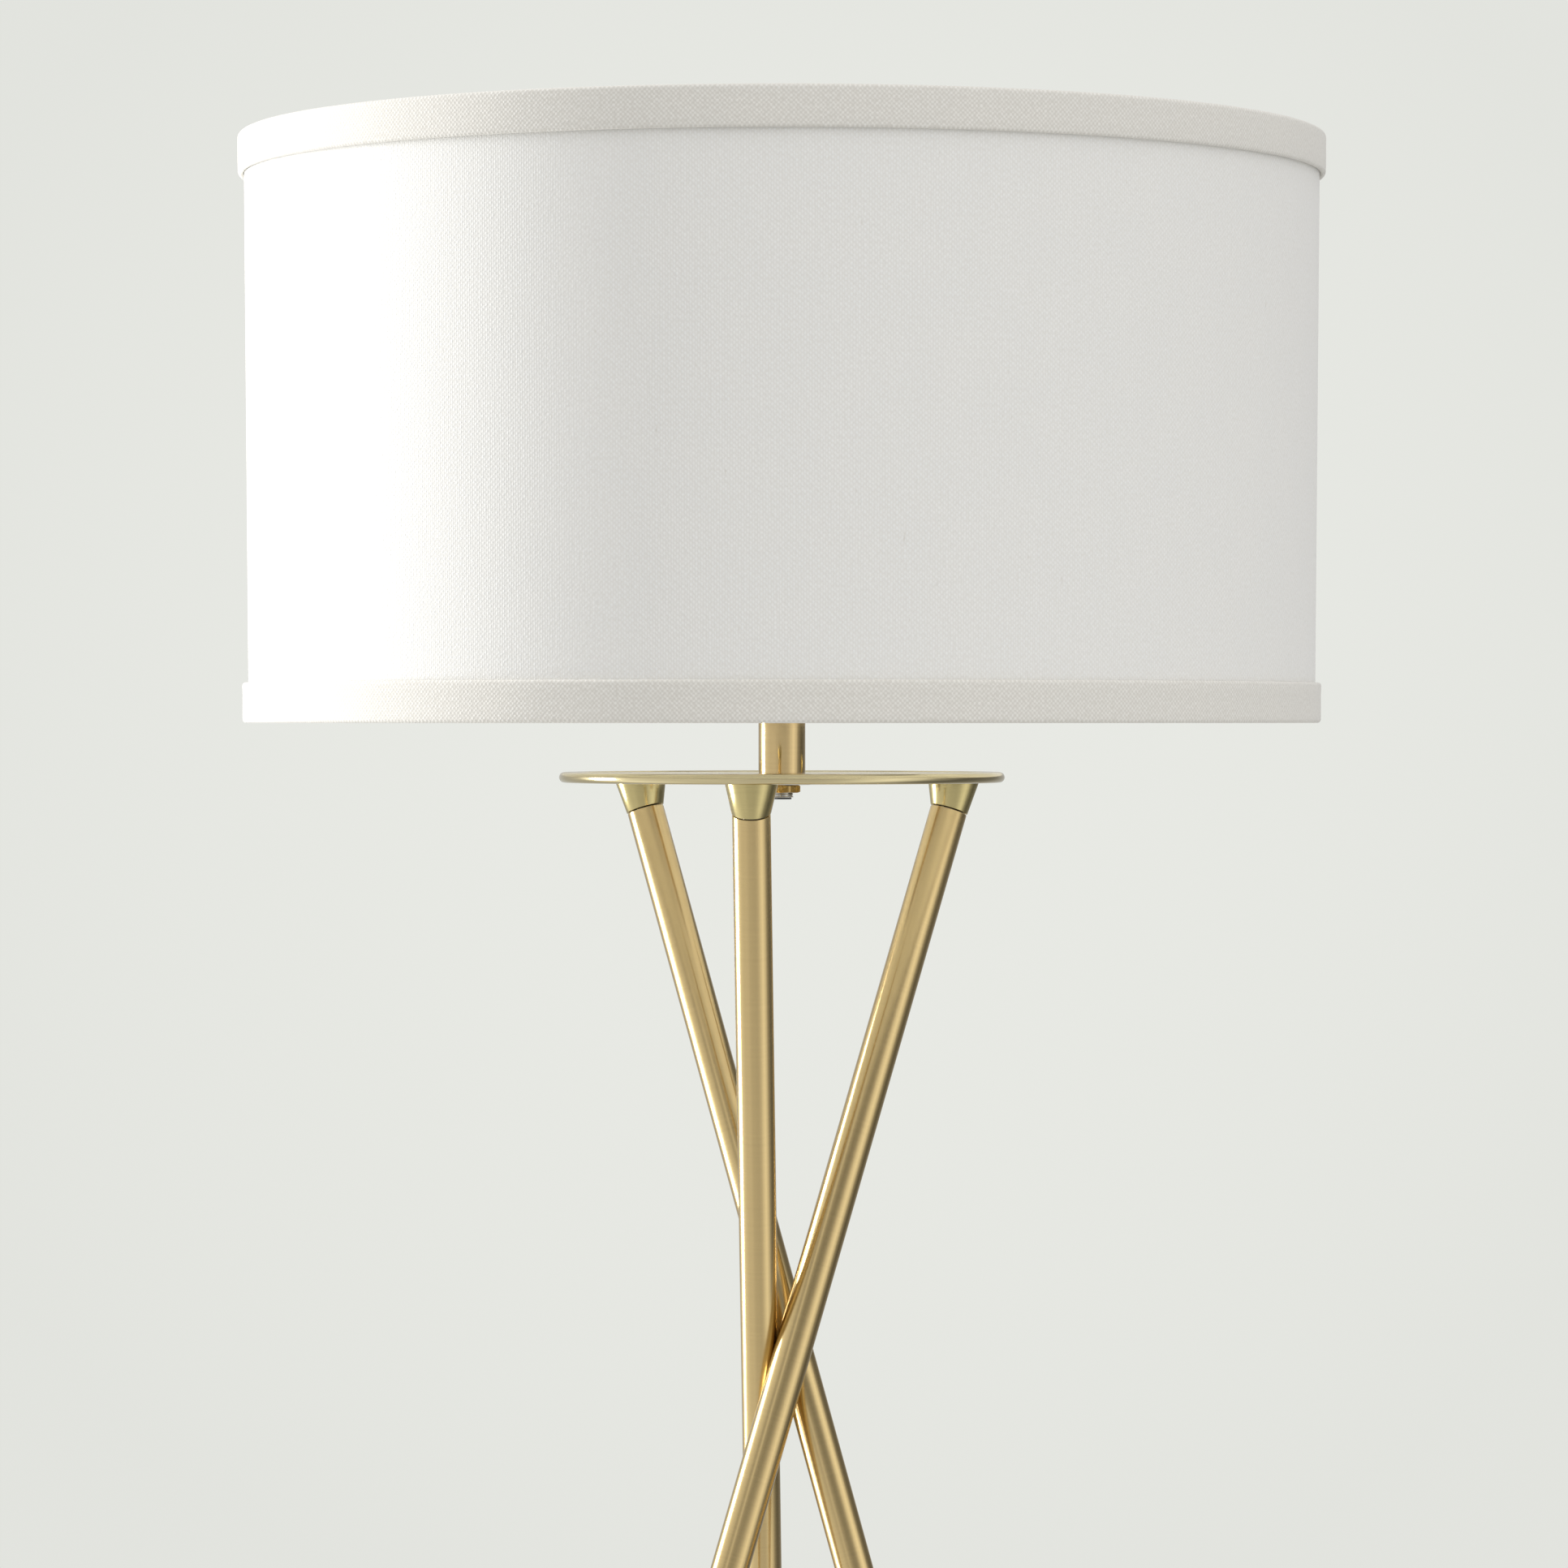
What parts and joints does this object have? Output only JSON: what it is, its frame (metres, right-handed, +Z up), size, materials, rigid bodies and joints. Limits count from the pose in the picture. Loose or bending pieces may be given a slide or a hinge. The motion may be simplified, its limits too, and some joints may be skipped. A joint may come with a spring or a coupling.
{
  "type": "tripod floor lamp",
  "caption": "Floor lamp with straight crossed tube legs under a round plate, and a fabric drum shade on a harp.",
  "frame": {"origin": "on the floor, in the middle of the three feet and under the post's axis", "axes": "+Z up along the post; leg 1 leaves the top plate on the -Y side, and the harp stands in the XZ plane"},
  "size_m": [0.5898, 0.5702, 1.5338],
  "materials": {
    "leg_brass": "satin",
    "ferrule_brass": "satin",
    "plate_brass": "satin",
    "post_brass": "satin",
    "zinc_steel": "satin",
    "washer_steel": "satin",
    "yellow_zinc_steel": "satin",
    "foot_rubber": "matte",
    "bushing_plastic": "matte",
    "socket_brass": "polished",
    "insulating_board": "matte",
    "socket_phenolic": "satin",
    "contact_brass": "satin",
    "knob_plastic": "satin",
    "frosted_glass": "satin",
    "bulb_cap_aluminium": "satin",
    "bulb_insulator_glass": "gloss",
    "bulb_solder": "satin",
    "harp_brass": "satin",
    "finial_brass": "polished",
    "shade_linen": "matte",
    "shade_styrene": "matte",
    "trim_linen": "matte",
    "shade_wire": "satin"
  },
  "bodies": {
    "stand": {"cable_bushing": "bushing_plastic", "centre_contact": "contact_brass", "ferrule_1": "ferrule_brass", "ferrule_2": "ferrule_brass", "ferrule_3": "ferrule_brass", "foot_1": "foot_rubber", "foot_2": "foot_rubber", "foot_3": "foot_rubber", "harp_loop": "harp_brass", "harp_saddle": "harp_brass", "harp_stud": "harp_brass", "hex_nut": "yellow_zinc_steel", "insulating_sleeve": "insulating_board", "leg_inserts": "zinc_steel", "leg_lower_1": "leg_brass", "leg_lower_2": "leg_brass", "leg_lower_3": "leg_brass", "leg_studs": "zinc_steel", "leg_upper_1": "leg_brass", "leg_upper_2": "leg_brass", "leg_upper_3": "leg_brass", "plate_washer": "washer_steel", "post": "post_brass", "post_lower_ring": "zinc_steel", "post_upper_ring": "post_brass", "screw_shell": "contact_brass", "socket_cap": "socket_brass", "socket_core": "socket_phenolic", "socket_shell": "socket_brass", "terminal_screws": "contact_brass", "threaded_nipple": "zinc_steel", "top_plate": "plate_brass"},
    "switch": {"switch_knob": "knob_plastic"},
    "bulb": {"bulb_glass": "frosted_glass", "bulb_cap": "bulb_cap_aluminium", "bulb_insulator": "bulb_insulator_glass", "bulb_tip": "bulb_solder"},
    "left_sleeve": {"harp_sleeve_left": "harp_brass"},
    "right_sleeve": {"harp_sleeve_right": "harp_brass"},
    "shade": {"shade_linen": "shade_linen", "shade_liner": "shade_styrene", "top_ring": "shade_wire", "bottom_ring": "shade_wire", "spider_spokes": "shade_wire", "spider_washer": "shade_wire", "top_trim": "trim_linen", "bottom_trim": "trim_linen"},
    "finial": {"finial": "finial_brass"}
  },
  "joints": [
    {"name": "switch_turn", "type": "hinge", "parent": "stand", "child": "switch", "pos_m": [0, -0.02, 1.3269], "axis": [0, -1, 0], "continuous": true},
    {"name": "bulb_lift", "type": "slide", "parent": "stand", "child": "bulb", "axis": [0, 0, 1], "range_m": [0, 0.032]},
    {"name": "left_sleeve_lift", "type": "slide", "parent": "stand", "child": "left_sleeve", "axis": [0, 0, 1], "range_m": [0, 0.014]},
    {"name": "right_sleeve_lift", "type": "slide", "parent": "stand", "child": "right_sleeve", "axis": [0, 0, 1], "range_m": [0, 0.014]},
    {"name": "shade_turn", "type": "hinge", "parent": "stand", "child": "shade", "pos_m": [0, 0, 1.509], "axis": [0, 0, 1], "continuous": true},
    {"name": "finial_lift", "type": "slide", "parent": "stand", "child": "finial", "axis": [0, 0, 1], "range_m": [0, 0.014]}
  ]
}
